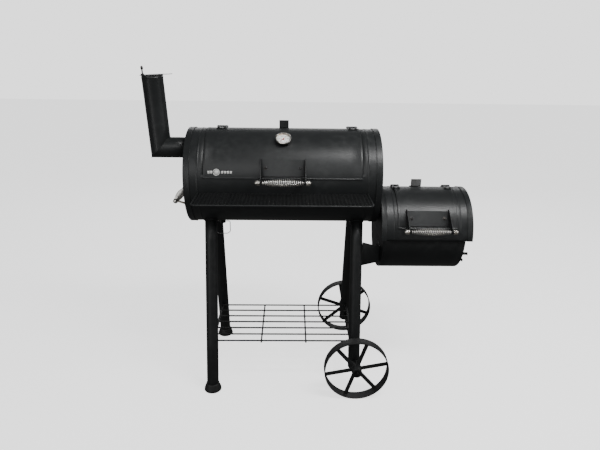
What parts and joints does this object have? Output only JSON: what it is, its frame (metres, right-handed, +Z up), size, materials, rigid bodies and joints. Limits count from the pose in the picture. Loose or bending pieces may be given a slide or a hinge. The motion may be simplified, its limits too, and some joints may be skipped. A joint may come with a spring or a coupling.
{
  "type": "offset smoker",
  "caption": "Offset smoker: round cooking chamber with side firebox, elbowed smokestack, spring-grip handles, front shelf, splayed legs, bottom rack and spoked wheels.",
  "frame": {"origin": "middle of the footprint at floor level", "axes": "+X along the cooking chamber towards the firebox, +Y to the back away from the shelf, +Z up"},
  "size_m": [1.4156, 0.719, 1.4032],
  "materials": {
    "black_paint": "satin heat-proof black paint",
    "chrome_plate": "bright chrome plating",
    "bare_steel": "zinc-plated steel",
    "black_iron": "black painted iron, slightly rough",
    "gauge_enamel": "dark enamel case with a white dial",
    "gauge_glass": "clear domed glass",
    "needle_red": "painted pointer"
  },
  "bodies": {
    "smoker": {"axle": "bare_steel", "bottom_rack": "black_paint", "chamber_end_left": "black_paint", "chamber_end_right": "black_paint", "chamber_hinge_left_fixed_leaf": "black_paint", "chamber_hinge_left_pin": "bare_steel", "chamber_hinge_right_fixed_leaf": "black_paint", "chamber_hinge_right_pin": "bare_steel", "chamber_lid_stop": "black_paint", "chamber_shell": "black_paint", "charcoal_grate": "black_iron", "cooking_grate_left": "chrome_plate", "cooking_grate_right": "chrome_plate", "damper_stud": "black_paint", "drain_spout": "black_paint", "firebox_body": "black_paint", "firebox_hinge_left_fixed_leaf": "black_paint", "firebox_hinge_left_pin": "bare_steel", "firebox_hinge_right_fixed_leaf": "black_paint", "firebox_hinge_right_pin": "bare_steel", "firebox_hood": "black_paint", "firebox_lid_stop": "bare_steel", "firebox_support": "black_paint", "foot_front_left": "black_paint", "foot_rear_left": "black_paint", "grate_frame": "bare_steel", "heat_throat": "black_paint", "leg_front_left": "black_paint", "leg_front_right": "black_paint", "leg_rear_left": "black_paint", "leg_rear_right": "black_paint", "leg_saddle_left": "black_paint", "leg_saddle_right": "black_paint", "shelf_frame": "black_paint", "shelf_mesh": "black_paint", "side_handle_bracket": "chrome_plate", "side_handle_rod": "chrome_plate", "side_handle_spring": "chrome_plate", "smokestack": "black_paint", "vent_guide": "black_paint"},
    "chamber_door": {"chamber_handle_bracket": "black_paint", "chamber_handle_rod": "chrome_plate", "chamber_handle_spring": "chrome_plate", "chamber_hinge_left_moving_leaf": "black_paint", "chamber_hinge_right_moving_leaf": "black_paint", "chamber_lid": "black_paint", "thermometer_case": "gauge_enamel", "thermometer_glass": "gauge_glass"},
    "firebox_door": {"firebox_handle_bracket": "black_paint", "firebox_handle_rod": "chrome_plate", "firebox_handle_spring": "chrome_plate", "firebox_hinge_left_moving_leaf": "black_paint", "firebox_hinge_right_moving_leaf": "black_paint", "firebox_lid": "black_paint"},
    "needle": {"thermometer_needle": "needle_red"},
    "damper": {"damper_flap": "black_paint"},
    "vent": {"vent_slide": "black_paint"},
    "hanger": {"drip_hanger": "bare_steel"},
    "front_wheel_body": {"front_wheel": "black_iron"},
    "rear_wheel_body": {"rear_wheel": "black_iron"}
  },
  "joints": [
    {"name": "chamber_lid_hinge", "type": "hinge", "parent": "smoker", "child": "chamber_door", "pos_m": [-0.10761, 0.03821, 1.1538], "axis": [-1, 0, 0], "range_deg": [0, 120]},
    {"name": "firebox_lid_hinge", "type": "hinge", "parent": "smoker", "child": "firebox_door", "pos_m": [0.50859, 0.03821, 0.8961], "axis": [-1, 0, 0], "range_deg": [0, 115]},
    {"name": "thermometer_needle_turn", "type": "hinge", "parent": "chamber_door", "child": "needle", "pos_m": [-0.10761, -0.10454, 1.12379], "axis": [0, 0.5664, -0.8241], "range_deg": [0, 250]},
    {"name": "stack_damper_swivel", "type": "hinge", "parent": "smoker", "child": "damper", "pos_m": [-0.69628, 0.0182, 1.36376], "axis": [-0.0523, 0, 0.9986], "range_deg": [0, 110]},
    {"name": "air_vent_slide", "type": "slide", "parent": "smoker", "child": "vent", "axis": [0, 1, 0], "range_m": [0, 0.05]},
    {"name": "drip_hanger_swing", "type": "hinge", "parent": "smoker", "child": "hanger", "pos_m": [-0.38511, 0.0182, 0.727], "axis": [1, 0, 0], "range_deg": [-50, 50]},
    {"name": "front_wheel_spin", "type": "hinge", "parent": "smoker", "child": "front_wheel_body", "pos_m": [0.21829, -0.27909, 0.1423], "axis": [0, 1, 0], "continuous": true},
    {"name": "rear_wheel_spin", "type": "hinge", "parent": "smoker", "child": "rear_wheel_body", "pos_m": [0.21829, 0.3155, 0.1423], "axis": [0, 1, 0], "continuous": true}
  ]
}
